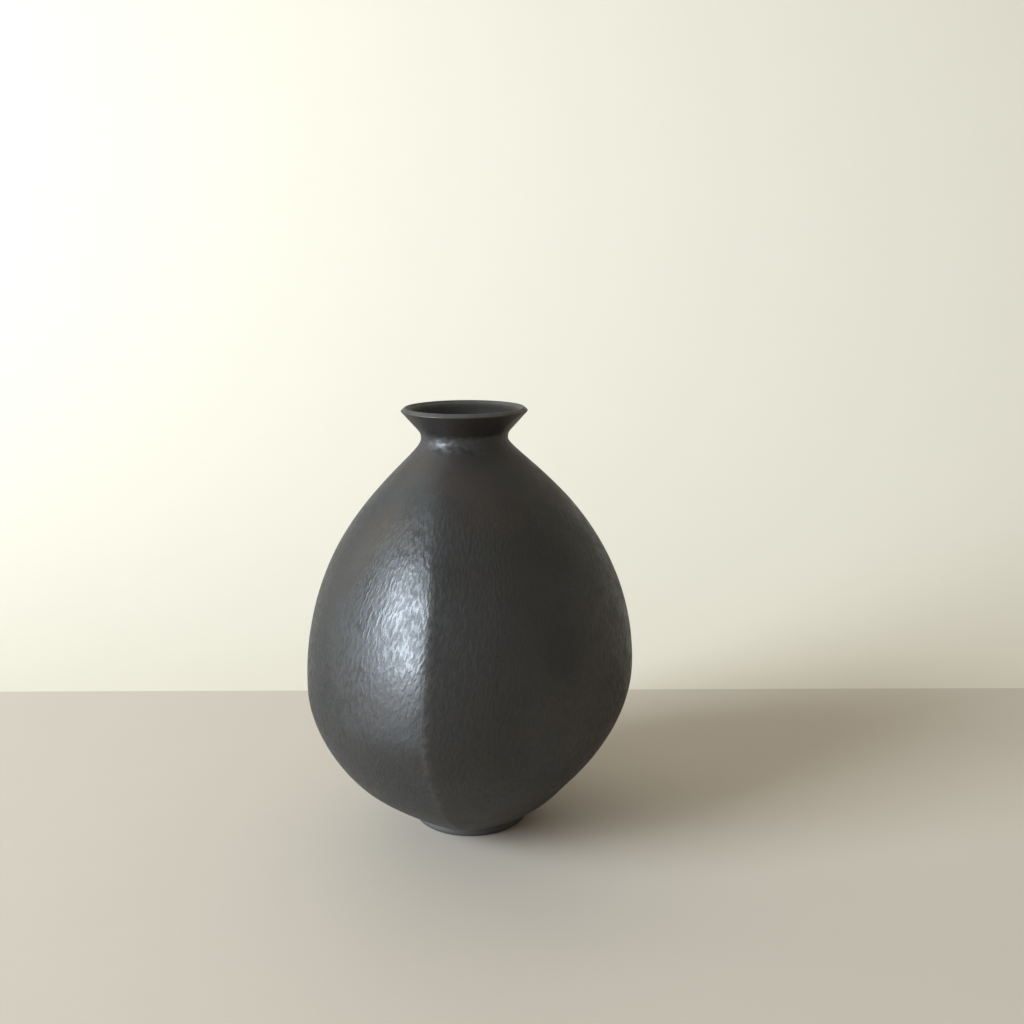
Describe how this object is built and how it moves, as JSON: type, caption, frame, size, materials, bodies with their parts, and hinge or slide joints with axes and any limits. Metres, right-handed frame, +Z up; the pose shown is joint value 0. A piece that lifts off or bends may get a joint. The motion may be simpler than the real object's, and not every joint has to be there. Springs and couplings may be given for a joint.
{
  "type": "clay pot",
  "caption": "Small black clay pot with three bowed panels meeting in soft upright ridges, a waisted neck, a flared rim and a low foot.",
  "frame": {"origin": "middle of the bounding box at the base, on the plane that the foot stands on", "axes": "+Z up along the pot's axis, -Y towards the front, where one ridge stands a little left of the middle, +X to the right seen from the front"},
  "size_m": [0.1574, 0.1588, 0.2],
  "materials": {
    "body_clay": "burnished black clay, satin with a soft metallic sheen",
    "neck_clay": "smooth thrown black clay, satin",
    "foot_clay": "bare smoked clay, matt"
  },
  "bodies": {
    "root": {"foot_ring": "foot_clay", "floor_disc": "body_clay", "left_wall_panel": "body_clay", "right_wall_panel": "body_clay", "back_wall_panel": "body_clay", "neck_collar": "neck_clay", "flared_rim": "neck_clay"}
  },
  "joints": []
}
